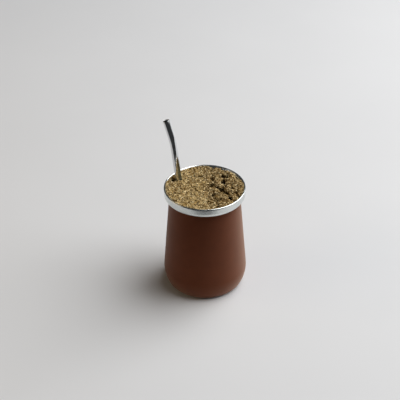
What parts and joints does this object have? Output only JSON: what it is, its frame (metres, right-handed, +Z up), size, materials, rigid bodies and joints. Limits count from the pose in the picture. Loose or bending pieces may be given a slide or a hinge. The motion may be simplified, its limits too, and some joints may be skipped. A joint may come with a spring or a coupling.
{
  "type": "mate cup with yerba and straw",
  "caption": "Brown steel mate cup with a bare steel collar, filled with dry ground yerba, and a bent steel drinking straw standing in it.",
  "frame": {"origin": "on the table under the axis of the cup", "axes": "+Z up along the cup's axis; the straw leans towards -X and a little +Y, so -Y is the front that the camera sees"},
  "size_m": [0.084, 0.084, 0.1743],
  "materials": {
    "brown_coat": "matte dark brown powder coat",
    "bare_steel": "satin",
    "ground_yerba": "dry ground leaves and stems",
    "polished_steel": "polished"
  },
  "bodies": {
    "root": {"cup_shell": "brown_coat", "steel_vessel": "bare_steel", "yerba": "ground_yerba", "straw": "polished_steel"}
  },
  "joints": []
}
